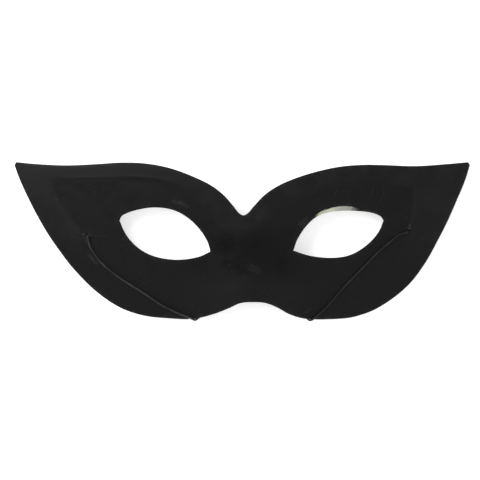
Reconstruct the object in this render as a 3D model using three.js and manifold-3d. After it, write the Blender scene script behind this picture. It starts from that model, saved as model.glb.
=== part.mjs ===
// A black half mask with swept-up corners, lying face up on a table, and its thin round elastic.
// Millimetres, +Z up. The origin is on the table, under the middle of the mask.
// Seen from above, +X is the right-hand wing and +Y the brow.

import * as THREE from 'three';
import { mergeVertices } from 'three/addons/utils/BufferGeometryUtils.js';
import Module from 'manifold-3d';

const wasm = await Module();
wasm.setup();

// Driving dimensions
const maskHalfWidth = 95;
const maskHalfDepth = 32.8;
const wallThickness = 1.6;
const wingSweepRadius = 300;
const browRollRadius = 170;
const restingPitch = 0.19;
const crownHeight = 12.0;
const centreLineLean = 3.25;

const noseHeight = 9.5;
const noseTopY = 12;
const noseLength = 38;
const noseLean = 2.2;
const noseWidthAtTop = 6.5;
const noseWidthAtArch = 12.5;

const borderHeight = 0.7;
const borderFullAboveY = 6;
const borderGoneBelowY = -14;
const borderSink = 0.25;
const borderRoot = 1.3;

const elasticDiameter = 0.8;
const elasticClearance = 0.38;
const elasticStub = 0.1;
// How the elastic rises out of its hole and bends over: how far along, and how high over the face
const elasticRise = [[0, 0.2], [0.35, 1.3], [1.6, 1.6]];
const elasticHoleDiameter = 1.8;
const elasticHoleLeft = [-64.7, 2.4];
const elasticHoleRight = [69.6, 4.0];
const coilCentre = [4.2, -8];
const coilRadius = 4.7;
const coilWholeTurns = 3;
const coilPitch = 0.85;
const coilEntryAngle = 144;
const coilExitAngle = 37;
const coilPlay = 0.05;
const tieThickness = 0.45;
const tieWidth = 1.2;
const tieLift = 0.02;
const knotRadius = 1.6;
const knotHeight = 2.2;
const knotGap = 0.45;
const gapAcrossTie = 0.4;
const gapAlongTie = 0.3;

// Fineness of the facets
const cellsAcross = 62;
const cellsUp = 24;
const outlineStep = 2.6;
const eyeStep = 2.2;
const elasticStep = 2.0;
const elasticSides = 8;
const holeSides = 12;
const coilSides = 32;
const knotSides = 12;
const knotBands = 6;
const slopeStep = 0.05;

// How far the cutting shapes reach past the mask
const cutBelow = -5;
const cutAbove = 60;
const cutPastWall = 4;
const sheetMargin = 2;

// The upper edge, from the left tip over the notch at the brow to the right tip
const upperEdge = [
  [-94.3, 32.8], [-86, 32.0], [-73, 31.4], [-60.8, 31.9], [-50.8, 32.5], [-40.8, 32.2], [-30.7, 30.4],
  [-21.6, 27.2], [-12.9, 23.0], [-7.6, 18.9], [-3.9, 14.7], [-1.2, 11.4], [0.5, 10.6], [2.2, 11.4],
  [5.1, 14.7], [9.1, 18.9], [15.2, 23.0], [25.6, 27.2], [39.3, 30.6], [50, 31.6], [59.4, 31.5],
  [72, 31.1], [84.4, 31.9], [94.2, 32.8],
];

// The lower edge, from the right tip round both cheeks and the nose arch to the left tip
const lowerEdge = [
  [95, 31.6], [93, 25.1], [89.5, 16.8], [85.8, 8.4], [81.6, 0.1], [77, -8.3], [71.1, -16.6], [66.9, -20.8],
  [61.7, -24.9], [54.6, -29.1], [48.8, -31.2], [44.3, -32.25], [37, -32.75], [29.3, -32.8], [24.3, -32.2],
  [19.3, -30.5], [14.3, -27.7], [9.3, -25.9], [4.3, -25.6], [-0.7, -26.0], [-5.7, -28.2], [-10.7, -30.2],
  [-15.7, -31.7], [-20.7, -32.7], [-30.7, -32.4], [-40.8, -31.3], [-50.8, -28.0], [-60.8, -21.3],
  [-70.8, -11.3], [-75.8, -4.8], [-80.8, 2.4], [-85.8, 11.0], [-90.8, 21.0], [-93.3, 26.7], [-95, 31.6],
];

// The left eye hole, from its outer corner along the top to its inner corner and back below
const leftEyeTop = [
  [-51, 8.4], [-50.2, 10.2], [-48.3, 11.3], [-43.3, 12.9], [-35.8, 13.8], [-28.4, 12.6], [-23.2, 9.9],
  [-18.2, 5.3], [-14.7, 0.1], [-13.4, -3.6],
];
const leftEyeBottom = [
  [-13.4, -4.6], [-18.2, -6.7], [-27, -7.9], [-35.8, -6.7], [-41.7, -4.1], [-46.5, 0.1], [-49.3, 4.3],
  [-51, 8.4],
];

// The right eye hole on the face, from its inner corner along the top to its outer corner and back below
const rightEyeTop = [
  [21.3, -4.1], [22.8, 0.1], [25.5, 4.6], [29.4, 9.2], [33.4, 12.2], [37.9, 14.0], [42.9, 14.6],
  [48.5, 13.8], [54.2, 12.0], [57.8, 10.0], [58.8, 8.4],
];
const rightEyeBottom = [
  [58.8, 8.4], [57.1, 4.3], [53.9, 0.1], [48.6, -4.1], [43.3, -6.4], [36, -7.1], [28, -6.2], [21.3, -4.1],
];
// The same hole's upper wall slopes forward, so that its far edge lies lower than the near one
const upperWallSlope = 2.1;
const upperWallMiddle = 42;
const upperWallHalfWidth = 18;
const upperWallAboveY = 4;

// A small nick in the lower edge, beside the place where the elastic goes round it
const edgeNick = [[-22.4, -33.4], [-21.6, -33.4], [-22, -32.2]];

// The sunk panel inside the border
const panelTop = [
  [-80.2, 25.3], [-70, 25.7], [-59.3, 25.9], [-46.8, 26.2], [-38.5, 25.7], [-32.2, 24.4], [-24, 21.0],
  [-16.8, 16.4], [-11.6, 10.4], [-6.2, 4.6], [0.3, 3.4], [5.6, 4.6], [10.2, 9.0], [17.9, 14.6],
  [24.1, 18.2], [32.5, 22.0], [38.7, 23.9], [45, 24.6], [59.6, 24.7], [66, 24.2], [72.6, 23.2],
];
const panelBottom = [
  [72.6, 23.2], [72.1, 14.9], [70, 4.5], [67.4, -4.5], [62.5, -13.1], [54, -20.2], [44, -24], [33, -24.6],
  [22, -22.4], [12, -18.4], [4.4, -17.2], [-4, -18.6], [-15, -22.6], [-27, -24.4], [-38, -23.2], [-48, -19.2],
  [-56, -13.6], [-61.4, -7.2], [-66.6, 1.6], [-73.5, 10.2], [-78.1, 17.2], [-80.2, 25.3],
];

// The elastic's way over the face, from the left hole to the lower edge and from there to the right hole
const elasticOverLeft = [
  [-63.2, -3.0], [-58.9, -9.0], [-51.1, -15.4], [-41.0, -21.9], [-33.4, -26.9], [-26.1, -30.5],
  [-22.3, -32.3],
];
const elasticOverRight = [
  [30.2, -32.1], [34.5, -28.4], [42.4, -19.4], [51.4, -10.1], [56.3, -5.0], [62.8, 0.0],
];
// From there round the lower edge and along the table to the coil under the nose, and from the coil back
const elasticUnderLeft = [
  [-21.2, -33.3, 5.2], [-20.4, -33.6, 4.2], [-19.8, -33.3, 3.0], [-18.9, -32.5, 2.1],
  [-17.7, -31.1, 1.3], [-16.1, -29.0, 0.75], [-14.0, -26.1, 0.52], [-7.0, -15.0, 0.5], [-1.7, -8.1, 1.0],
];
const elasticUnderRight = [
  [10.1, -8.0, 3.8], [13.0, -11.8, 2.8], [16.4, -16.1, 1.25], [19.0, -20.1, 0.62], [24.0, -28.3, 0.54],
  [25.4, -30.7, 0.95], [26.7, -32.4, 1.95], [27.5, -33.35, 3.0], [28.2, -33.8, 4.1], [29.1, -33.5, 5.25],
];

const blackPlastic = new THREE.MeshStandardMaterial({ color: 0x232423, roughness: 0.55, metalness: 0 });
const blackElastic = new THREE.MeshStandardMaterial({ color: 0x2c2c2e, roughness: 0.8, metalness: 0 });

// A smooth curve through points, as points about one step apart, without the last one
function curveThrough(points, step) {
  const knots = points.map(([x, y]) => new THREE.Vector3(x, y, 0));
  const curve = new THREE.CatmullRomCurve3(knots, false, 'centripetal');
  const count = Math.ceil(curve.getLength() / step);
  return curve.getSpacedPoints(count).slice(0, -1).map((p) => [p.x, p.y]);
}

function smoothStep(low, high, value) {
  return THREE.MathUtils.smoothstep(value, low, high);
}

// How far an arc of this radius has dropped at a distance from its crown
function arcDrop(distance, radius) {
  return radius - Math.sqrt(radius * radius - distance * distance);
}

function noseBump(x, y) {
  const down = THREE.MathUtils.clamp((noseTopY - y) / noseLength, 0, 1);
  const width = THREE.MathUtils.lerp(noseWidthAtTop, noseWidthAtArch, down);
  const ridge = noseLean * (0.25 + 1.75 * down);
  const across = (x - ridge) / width;
  return noseHeight * smoothStep(0, 1, down) * Math.exp(-across * across / 2);
}

// Height of the hollow side over the table
function undersideHeight(x, y) {
  const centre = centreLineLean * (maskHalfDepth - y) / (2 * maskHalfDepth);
  const shell = crownHeight - arcDrop(x - centre, wingSweepRadius) - arcDrop(y, browRollRadius);
  return shell + restingPitch * y + noseBump(x, y);
}

// Height of the sunk panel
function panelHeight(x, y) {
  const [left, right] = [undersideHeight(x - slopeStep, y), undersideHeight(x + slopeStep, y)];
  const [near, far] = [undersideHeight(x, y - slopeStep), undersideHeight(x, y + slopeStep)];
  const slopeX = (right - left) / (2 * slopeStep);
  const slopeY = (far - near) / (2 * slopeStep);
  return undersideHeight(x, y) + wallThickness * Math.hypot(1, slopeX, slopeY);
}

// Height of the border, which stands proud along the brow and fades out down the cheeks
function borderTop(x, y) {
  const share = smoothStep(borderGoneBelowY, borderFullAboveY, y);
  return panelHeight(x, y) + (borderHeight + borderSink) * share - borderSink;
}

function faceHeight(x, y) {
  return Math.max(panelHeight(x, y), borderTop(x, y));
}

function solidOf(geometry) {
  const bare = geometry.index ? geometry.toNonIndexed() : geometry.clone();
  bare.deleteAttribute('normal');
  bare.deleteAttribute('uv');
  const merged = mergeVertices(bare, 1e-4);
  const mesh = new wasm.Mesh({
    numProp: 3,
    vertProperties: new Float32Array(merged.attributes.position.array),
    triVerts: new Uint32Array(merged.index.array),
  });
  return new wasm.Manifold(mesh);
}

function geometryOf(solid) {
  const mesh = solid.getMesh();
  const geometry = new THREE.BufferGeometry();
  geometry.setAttribute('position', new THREE.BufferAttribute(new Float32Array(mesh.vertProperties), 3));
  geometry.setIndex(new THREE.BufferAttribute(new Uint32Array(mesh.triVerts), 1));
  geometry.computeVertexNormals();
  return geometry;
}

function geometryFrom(vertices, triangles) {
  const geometry = new THREE.BufferGeometry();
  geometry.setAttribute('position', new THREE.Float32BufferAttribute(vertices.flat(), 3));
  geometry.setIndex(triangles.flat());
  return geometry;
}

// A closed sheet over the whole plan, between two heights, with its edges left for the outline to cut
function sheetSolid(top, bottom) {
  const across = maskHalfWidth + sheetMargin;
  const up = maskHalfDepth + sheetMargin;
  const vertices = [];
  for (const height of [top, bottom]) {
    for (let j = 0; j <= cellsUp; j += 1) {
      for (let i = 0; i <= cellsAcross; i += 1) {
        const x = -across + 2 * across * i / cellsAcross;
        const y = -up + 2 * up * j / cellsUp;
        vertices.push([x, y, height(x, y)]);
      }
    }
  }
  const layer = (cellsAcross + 1) * (cellsUp + 1);
  const at = (i, j) => i + j * (cellsAcross + 1);
  const triangles = [];
  for (let j = 0; j < cellsUp; j += 1) {
    for (let i = 0; i < cellsAcross; i += 1) {
      const [a, b, c, d] = [at(i, j), at(i + 1, j), at(i + 1, j + 1), at(i, j + 1)];
      triangles.push([a, b, c], [a, c, d]);
      triangles.push([c + layer, b + layer, a + layer], [d + layer, c + layer, a + layer]);
    }
  }
  const rim = [];
  for (let i = 0; i < cellsAcross; i += 1) rim.push(at(i, 0));
  for (let j = 0; j < cellsUp; j += 1) rim.push(at(cellsAcross, j));
  for (let i = cellsAcross; i > 0; i -= 1) rim.push(at(i, cellsUp));
  for (let j = cellsUp; j > 0; j -= 1) rim.push(at(0, j));
  rim.forEach((a, k) => {
    const b = rim[(k + 1) % rim.length];
    triangles.push([a, a + layer, b + layer], [a, b + layer, b]);
  });
  return solidOf(geometryFrom(vertices, triangles));
}

// A closed upright solid through rings of points that all run anticlockwise, the lowest ring first
function ringStackSolid(rings) {
  const count = rings[0].length;
  const triangles = [];
  for (let r = 0; r + 1 < rings.length; r += 1) {
    for (let k = 0; k < count; k += 1) {
      const [a, b] = [r * count + k, r * count + (k + 1) % count];
      triangles.push([a, b, b + count], [a, b + count, a + count]);
    }
  }
  const cap = (ring) => THREE.ShapeUtils.triangulateShape(ring.map(([x, y]) => new THREE.Vector2(x, y)), []);
  const last = (rings.length - 1) * count;
  cap(rings[0]).forEach(([a, b, c]) => triangles.push([a, c, b]));
  cap(rings[rings.length - 1]).forEach(([a, b, c]) => triangles.push([a + last, b + last, c + last]));
  return solidOf(geometryFrom(rings.flat(), triangles));
}

function anticlockwise(points) {
  const area = THREE.ShapeUtils.area(points.map(([x, y]) => new THREE.Vector2(x, y)));
  return area < 0 ? [...points].reverse() : points;
}

function prismSolid(points, low = cutBelow) {
  const ring = anticlockwise(points);
  return ringStackSolid([low, cutAbove].map((z) => ring.map(([x, y]) => [x, y, z])));
}

function circlePoints([cx, cy], radius, sides) {
  return Array.from({ length: sides }, (_, k) => {
    const turn = 2 * Math.PI * k / sides;
    return [cx + radius * Math.cos(turn), cy + radius * Math.sin(turn)];
  });
}

// The far edge of the right eye's sloping upper wall
function farEdge([x, y]) {
  const across = (x - upperWallMiddle) / upperWallHalfWidth;
  const share = Math.abs(across) < 1 ? (1 + Math.cos(Math.PI * across)) / 2 : 0;
  return [x, y - (y > upperWallAboveY ? upperWallSlope * share : 0)];
}

// The right eye hole, cut square to the table below and with its sloping wall through the thickness
function rightEyeCutter() {
  const rightEye = [...curveThrough(rightEyeTop, eyeStep), ...curveThrough(rightEyeBottom, eyeStep)];
  const near = anticlockwise(rightEye);
  const far = near.map(farEdge);
  return ringStackSolid([
    far.map(([x, y]) => [x, y, undersideHeight(x, y) - cutPastWall]),
    far.map(([x, y]) => [x, y, undersideHeight(x, y)]),
    near.map(([x, y]) => [x, y, faceHeight(x, y)]),
    near.map(([x, y]) => [x, y, faceHeight(x, y) + cutPastWall]),
  ]);
}

function maskShell() {
  const outline = [
    ...curveThrough(upperEdge, outlineStep), upperEdge.at(-1),
    ...curveThrough(lowerEdge, outlineStep), lowerEdge.at(-1),
  ];
  const leftEye = [
    ...curveThrough(leftEyeTop, eyeStep), leftEyeTop.at(-1),
    ...curveThrough(leftEyeBottom, eyeStep),
  ];
  const panel = [...curveThrough(panelTop, outlineStep), ...curveThrough(panelBottom, outlineStep)];
  const border = sheetSolid(borderTop, (x, y) => undersideHeight(x, y) + borderRoot)
    .subtract(prismSolid(panel));
  return sheetSolid(panelHeight, undersideHeight)
    .add(border)
    .intersect(prismSolid(outline, 0))
    .subtract(prismSolid(leftEye))
    .subtract(rightEyeCutter())
    .subtract(prismSolid(edgeNick))
    .subtract(prismSolid(circlePoints(elasticHoleLeft, elasticHoleDiameter / 2, holeSides)))
    .subtract(prismSolid(circlePoints(elasticHoleRight, elasticHoleDiameter / 2, holeSides)));
}

// A round cord through points
function cordTube(points) {
  const path = new THREE.CatmullRomCurve3(points.map((p) => new THREE.Vector3(...p)), false, 'centripetal');
  const section = new THREE.Shape(circlePoints([0, 0], elasticDiameter / 2, elasticSides)
    .map(([x, y]) => new THREE.Vector2(x, y)));
  const steps = Math.round(path.getLength() / elasticStep);
  return new THREE.ExtrudeGeometry(section, { steps, extrudePath: path, bevelEnabled: false });
}

const elasticRadius = elasticDiameter / 2;
const onFace = ([x, y]) => [x, y, faceHeight(x, y) + elasticRadius + elasticClearance];

// Where the elastic comes up through its hole and bends over onto the face
function throughHole([x, y], [towardsX, towardsY]) {
  const rise = elasticRise.map(([along, above]) => {
    const [overX, overY] = [x + along * towardsX, y + along * towardsY];
    return [overX, overY, faceHeight(overX, overY) + above];
  });
  return [[x, y, undersideHeight(x, y) - elasticStub], ...rise];
}

const elasticLeftRoute = [
  ...throughHole(elasticHoleLeft, [0.25, -0.97]),
  ...elasticOverLeft.map(onFace),
  ...elasticUnderLeft,
];
const elasticRightRoute = [
  ...elasticUnderRight,
  ...elasticOverRight.map(onFace),
  ...throughHole(elasticHoleRight, [-0.9, -0.4]).reverse(),
];

const coilLift = tieThickness + gapAlongTie;
const coilSweep = (coilEntryAngle - coilExitAngle) / 360 + coilWholeTurns;
const coilHeight = coilSweep * coilPitch + elasticDiameter;

function coilRing() {
  const inner = coilRadius - elasticRadius - coilPlay;
  const outer = coilRadius + elasticRadius + coilPlay;
  const low = coilLift;
  const high = coilLift + coilHeight;
  const profile = [[inner, low], [outer, low], [outer, high], [inner, high], [inner, low]];
  const ring = new THREE.LatheGeometry(profile.map(([r, z]) => new THREE.Vector2(r, z)), coilSides);
  return ring.rotateX(Math.PI / 2).translate(coilCentre[0], coilCentre[1], 0);
}

// The small tie stands round the bundle of turns at the coil's brow side
function coilTie() {
  const halfWidth = elasticRadius + gapAcrossTie + tieThickness;
  const height = coilLift + coilHeight + gapAlongTie + tieThickness;
  const frame = (inset) => [
    [-halfWidth + inset, inset], [halfWidth - inset, inset], [halfWidth - inset, height - inset],
    [-halfWidth + inset, height - inset],
  ].map(([x, y]) => new THREE.Vector2(x, y));
  const section = new THREE.Shape(frame(0));
  section.holes.push(new THREE.Path(frame(tieThickness).reverse()));
  const tie = new THREE.ExtrudeGeometry(section, { depth: tieWidth, bevelEnabled: false });
  tie.rotateX(Math.PI / 2).rotateZ(Math.PI / 2);
  return tie.translate(coilCentre[0] - tieWidth / 2, coilCentre[1] + coilRadius, tieLift);
}

// A knot under its hole, too wide to slip through
function holeKnot([x, y]) {
  const profile = [];
  for (let k = 0; k <= knotBands; k += 1) {
    const turn = -Math.PI / 2 + Math.PI * k / knotBands;
    const radius = k === 0 || k === knotBands ? 0 : knotRadius * Math.cos(turn);
    profile.push(new THREE.Vector2(radius, knotHeight / 2 * Math.sin(turn)));
  }
  const knot = new THREE.LatheGeometry(profile, knotSides);
  return knot.rotateX(Math.PI / 2).translate(x, y, undersideHeight(x, y) - knotGap - knotHeight / 2);
}

const catMask = new THREE.Group();

function addPiece(name, geometry, material) {
  const mesh = new THREE.Mesh(geometry, material);
  mesh.name = name;
  catMask.add(mesh);
}

addPiece('mask_shell', geometryOf(maskShell()), blackPlastic);
addPiece('elastic_left', cordTube(elasticLeftRoute), blackElastic);
addPiece('elastic_coil', coilRing(), blackElastic);
addPiece('elastic_right', cordTube(elasticRightRoute), blackElastic);
addPiece('elastic_tie', coilTie(), blackElastic);
addPiece('elastic_knot_left', holeKnot(elasticHoleLeft), blackElastic);
addPiece('elastic_knot_right', holeKnot(elasticHoleRight), blackElastic);

export default catMask;
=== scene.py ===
# A black half mask with swept-up corners and its thin round elastic, lying face up on a pale floor.
# Metres, in the frame of the solids: +Z up, the floor at zero, +X the right-hand wing, +Y the brow.

import math

import bpy
import numpy as np
from bpy.props import FloatProperty, FloatVectorProperty, IntProperty, PointerProperty
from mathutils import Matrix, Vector
from mathutils.geometry import delaunay_2d_cdt


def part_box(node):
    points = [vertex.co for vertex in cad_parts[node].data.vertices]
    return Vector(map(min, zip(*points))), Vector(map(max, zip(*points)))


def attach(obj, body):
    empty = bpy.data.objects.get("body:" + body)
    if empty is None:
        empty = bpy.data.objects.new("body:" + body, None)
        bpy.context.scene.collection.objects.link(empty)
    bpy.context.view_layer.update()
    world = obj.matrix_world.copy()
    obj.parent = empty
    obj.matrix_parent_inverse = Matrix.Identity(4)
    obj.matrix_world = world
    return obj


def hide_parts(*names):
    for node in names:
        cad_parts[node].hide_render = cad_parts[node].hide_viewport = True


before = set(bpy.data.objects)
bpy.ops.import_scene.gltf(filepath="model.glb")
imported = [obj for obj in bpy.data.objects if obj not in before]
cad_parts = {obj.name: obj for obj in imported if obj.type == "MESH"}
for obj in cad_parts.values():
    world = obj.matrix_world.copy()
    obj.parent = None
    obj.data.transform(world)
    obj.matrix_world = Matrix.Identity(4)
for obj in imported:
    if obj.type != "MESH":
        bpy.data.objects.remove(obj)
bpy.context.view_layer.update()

bl_info = {
    "name": "Cat Mask",
    "version": (1, 0, 0),
    "blender": (4, 5, 0),
    "location": "View3D > Sidebar > Cat Mask",
    "description": "Builds a black half mask, its elastic and a small pale studio",
    "category": "Object",
}

BODY = "root"
MM = 0.001

# The mask's form: an arc across the wings, an arc from brow to cheek, and the nose bridge on them
MASK_HALF_DEPTH = 0.0328
WING_SWEEP_RADIUS = 0.300
BROW_ROLL_RADIUS = 0.170
RESTING_PITCH = 0.19
CENTRE_LINE_LEAN = 0.00325
NOSE_TOP_Y = 0.012
NOSE_LENGTH = 0.038
NOSE_X_AT_TOP = 0.00055
NOSE_X_AT_ARCH = 0.0044
NOSE_WIDTH_AT_TOP = 0.0065
NOSE_WIDTH_AT_ARCH = 0.0125
BORDER_FULL_ABOVE_Y = 0.006
BORDER_GONE_BELOW_Y = -0.014

# The part of the nose bridge with painted shade in its colour and a duller finish: its middle and width,
# and shares of the bridge's length
DARK_NOSE_X = 0.0022
DARK_NOSE_WIDTH = 0.0175
DARK_NOSE_FROM = (0.0, 0.35)
DARK_NOSE_UNTIL = (0.55, 0.85)

# The upper edge, from the left tip over the notch at the brow to the right tip
UPPER_EDGE = (
    (-0.0943, 0.0328), (-0.086, 0.032), (-0.073, 0.0314), (-0.0608, 0.0319), (-0.0508, 0.0325),
    (-0.0408, 0.0322), (-0.0307, 0.0304), (-0.0216, 0.0272), (-0.0129, 0.023), (-0.0076, 0.0189),
    (-0.0039, 0.0147), (-0.0012, 0.0114), (0.0005, 0.0106), (0.0022, 0.0114), (0.0051, 0.0147),
    (0.0091, 0.0189), (0.0152, 0.023), (0.0256, 0.0272), (0.0393, 0.0306), (0.05, 0.0316),
    (0.0594, 0.0315), (0.072, 0.0311), (0.0844, 0.0319), (0.0942, 0.0328),
)
# The lower edge, from the right tip round both cheeks and the nose arch to the left tip
LOWER_EDGE = (
    (0.095, 0.0316), (0.093, 0.0251), (0.0895, 0.0168), (0.0858, 0.0084), (0.0816, 0.0001),
    (0.077, -0.0083), (0.0711, -0.0166), (0.0669, -0.0208), (0.0617, -0.0249), (0.0546, -0.0291),
    (0.0488, -0.0312), (0.0443, -0.03225), (0.037, -0.03275), (0.0293, -0.0328), (0.0243, -0.0322),
    (0.0193, -0.0305), (0.0143, -0.0277), (0.0093, -0.0259), (0.0043, -0.0256), (-0.0007, -0.026),
    (-0.0057, -0.0282), (-0.0107, -0.0302), (-0.0157, -0.0317), (-0.0207, -0.0327), (-0.0307, -0.0324),
    (-0.0408, -0.0313), (-0.0508, -0.028), (-0.0608, -0.0213), (-0.0708, -0.0113), (-0.0758, -0.0048),
    (-0.0808, 0.0024), (-0.0858, 0.011), (-0.0908, 0.021), (-0.0933, 0.0267), (-0.095, 0.0316),
)
LEFT_EYE_TOP = (
    (-0.051, 0.0084), (-0.0502, 0.0102), (-0.0483, 0.0113), (-0.0433, 0.0129), (-0.0358, 0.0138),
    (-0.0284, 0.0126), (-0.0232, 0.0099), (-0.0182, 0.0053), (-0.0147, 0.0001), (-0.0134, -0.0036),
)
LEFT_EYE_BOTTOM = (
    (-0.0134, -0.0046), (-0.0182, -0.0067), (-0.027, -0.0079), (-0.0358, -0.0067), (-0.0417, -0.0041),
    (-0.0465, 0.0001), (-0.0493, 0.0043), (-0.051, 0.0084),
)
RIGHT_EYE_TOP = (
    (0.0213, -0.0041), (0.0228, 0.0001), (0.0255, 0.0046), (0.0294, 0.0092), (0.0334, 0.0122),
    (0.0379, 0.014), (0.0429, 0.0146), (0.0485, 0.0138), (0.0542, 0.012), (0.0578, 0.01), (0.0588, 0.0084),
)
RIGHT_EYE_BOTTOM = (
    (0.0588, 0.0084), (0.0571, 0.0043), (0.0539, 0.0001), (0.0486, -0.0041), (0.0433, -0.0064),
    (0.036, -0.0071), (0.028, -0.0062), (0.0213, -0.0041),
)
PANEL_TOP = (
    (-0.0802, 0.0253), (-0.07, 0.0257), (-0.0593, 0.0259), (-0.0468, 0.0262), (-0.0385, 0.0257),
    (-0.0322, 0.0244), (-0.024, 0.021), (-0.0168, 0.0164), (-0.0116, 0.0104), (-0.0062, 0.0046),
    (0.0003, 0.0034), (0.0056, 0.0046), (0.0102, 0.009), (0.0179, 0.0146), (0.0241, 0.0182),
    (0.0325, 0.022), (0.0387, 0.0239), (0.045, 0.0246), (0.0596, 0.0247), (0.066, 0.0242), (0.0726, 0.0232),
)
PANEL_BOTTOM = (
    (0.0726, 0.0232), (0.0721, 0.0149), (0.07, 0.0045), (0.0674, -0.0045), (0.0625, -0.0131),
    (0.054, -0.0202), (0.044, -0.024), (0.033, -0.0246), (0.022, -0.0224), (0.012, -0.0184),
    (0.0044, -0.0172), (-0.004, -0.0186), (-0.015, -0.0226), (-0.027, -0.0244), (-0.038, -0.0232),
    (-0.048, -0.0192), (-0.056, -0.0136), (-0.0614, -0.0072), (-0.0666, 0.0016), (-0.0735, 0.0102),
    (-0.0781, 0.0172), (-0.0802, 0.0253),
)

# The step from the border down to the panel: how far it lies inside the panel's outline, and half its
# width along the top, at the sides and at the brow
BORDER_STEP_INSET = 0.0004
BORDER_SLOPE = 0.0010
SIDE_BORDER_SLOPE = 0.0021
BROW_BORDER_SLOPE = 0.0019
SIDE_BORDER_Y = (0.0170, 0.0235)
SIDE_BORDER_X = (0.050, 0.060)
BROW_BORDER_X = (0.024, 0.036)
PANEL_CORNER_SOFT = (0.0015, 0.0080)
BEAD_WIDTH = 0.00045
BEAD_HEIGHT_SHARE = 0.1
MATTER_WITHIN = (-0.0017, -0.0007)
LOWER_FACE_MATTER = 0.8

# The right eye hole's upper wall slopes forward, and part of it was never covered in black
UPPER_WALL_SLOPE = 0.0021
UPPER_WALL_MIDDLE = 0.042
UPPER_WALL_HALF_WIDTH = 0.018
UPPER_WALL_ABOVE_Y = 0.004
UPPER_WALL_REACH = 0.007
BARE_FROM = (0.0286, 0.0332)
BARE_UNTIL = (0.0427, 0.0510)
CREAM_UNTIL = (0.0365, 0.0420)
BARE_LIP_UNTIL = (0.0320, 0.0365)
BARE_LIP_WIDTH = (0.0001, 0.0005)

# A small nick in the lower edge, beside the place where the elastic goes round it
NICK_X = -0.0220
NICK_HALF_WIDTH = 0.0005
NICK_DEPTH = 0.0006

# A row of shallow strokes over the right eye hole: the foot and the head of each, and one long bent one
STROKES = (
    ((0.0387, 0.0181), (0.0399, 0.0221)),
    ((0.0440, 0.0178), (0.0456, 0.0222)),
    ((0.0492, 0.0181), (0.0502, 0.0219)),
    ((0.0536, 0.0176), (0.0550, 0.0221)),
    ((0.0574, 0.0158), (0.0587, 0.0180), (0.0592, 0.0206), (0.0588, 0.0233)),
)
STROKE_HEIGHT = 0.00016
STROKE_HALF_WIDTH = 0.00050
STROKE_CREST_SHARE = 0.25

# Shallow dimples beside the elastic's holes: place, radius and depth
DIMPLES = (
    ((-0.0617, 0.0004), 0.0013, 0.00022),
    ((-0.0580, 0.0002), 0.0011, 0.00016),
    ((-0.0665, 0.0018), 0.0010, 0.00012),
    ((0.0668, 0.0062), 0.0012, 0.00015),
)

# The elastic's way over the face, and round the lower edge and along the floor to the coil
ELASTIC_OVER_LEFT = (
    (-0.0632, -0.0030), (-0.0589, -0.0090), (-0.0511, -0.0154), (-0.0410, -0.0219), (-0.0334, -0.0269),
    (-0.0261, -0.0305), (-0.0215, -0.0323),
)
ELASTIC_OVER_RIGHT = (
    (0.0302, -0.0321), (0.0345, -0.0284), (0.0424, -0.0194), (0.0514, -0.0101), (0.0563, -0.0050),
    (0.0609, -0.0012), (0.0628, 0.0005), (0.0651, 0.0022),
)
ELASTIC_UNDER_LEFT = (
    (-0.0204, -0.0334, 0.0053), (-0.0195, -0.03365, 0.0042), (-0.0189, -0.0333, 0.0030),
    (-0.0180, -0.0324, 0.0021), (-0.0169, -0.0308, 0.0013), (-0.0154, -0.0286, 0.00075),
    (-0.0135, -0.0258, 0.00052), (-0.0070, -0.0150, 0.0005), (-0.0017, -0.0081, 0.0010),
)
ELASTIC_UNDER_RIGHT = (
    (0.0101, -0.0080, 0.0038), (0.0130, -0.0118, 0.0028), (0.0164, -0.0161, 0.00125),
    (0.0190, -0.0201, 0.00062), (0.0240, -0.0283, 0.00054), (0.0254, -0.0307, 0.00095),
    (0.0267, -0.0324, 0.00195), (0.0275, -0.03335, 0.0030), (0.0282, -0.0338, 0.0041),
    (0.0291, -0.0335, 0.00525),
)
TOWARDS_LEFT = (0.25, -0.97)
TOWARDS_RIGHT = (-0.9, -0.4)
ELASTIC_LIFT = 0.00006
COIL_PLAY = 0.00005
COIL_PITCH = 0.00085
COIL_ENTRY = math.radians(144)
COIL_EXIT = math.radians(37)
COIL_WHOLE_TURNS = 3
COIL_POINTS_PER_TURN = 16
# The elastic bends evenly round the lower edge, about a line inside it, and over the rim of each hole
EDGE_BEND = 0.00180
EDGE_BEND_DEPTH = 0.00132
EDGE_BEND_BELOW_FACE = 0.00100
EDGE_BEND_WITHIN = (0.0022, 0.0034)
CHEEK_EDGE_BELOW_Y = -0.028
HOLE_BEND = 0.0019
HOLE_BEND_SINK = 0.0008
HOLE_BEND_STEPS = 4
EVENING_PASSES = 8
# The spacing of the elastic's points, first on the face and then along all of it, and its braid
ELASTIC_SPACING_ON_FACE = 0.0022
ELASTIC_SPACING = 0.00025
BRAID_STRANDS = 4
BRAID_RELIEF = 0.045

# The knots' strand as a share of the elastic's diameter, and the tie's thread
KNOT_STRAND_SHARE = 0.46
KNOT_POINTS = 97
KNOT_OPENING_POINTS = 3
KNOT_SIDES = 12
TIE_THREAD_RADIUS = 0.0002
TIE_TURNS = 3
TIE_TURN_SPACING = 0.00041
TIE_POINTS_PER_TURN = 60
TIE_SIDES = 8

# The stage: the point under the picture's middle, and each light's place and side
PICTURE_MIDDLE = (-0.00092, 0.00029)
KEY_LIGHT_PLACE, KEY_LIGHT_SIDE = (-0.95, 0.62, 1.40), 0.95
FILL_LIGHT_PLACE, FILL_LIGHT_SIDE = (1.25, -0.30, 1.05), 1.1


def middle_of(node):
    """The middle of a solid's box."""
    low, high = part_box(node)
    return (low + high) / 2


HOLE_LEFT = middle_of("elastic_knot_left")
HOLE_RIGHT = middle_of("elastic_knot_right")
COIL_LOW, COIL_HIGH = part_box("elastic_coil")
TIE_MIDDLE = middle_of("elastic_tie")


def length_setting(name, description, default):
    return FloatProperty(name=name, description=description, default=default, unit="LENGTH")


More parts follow.
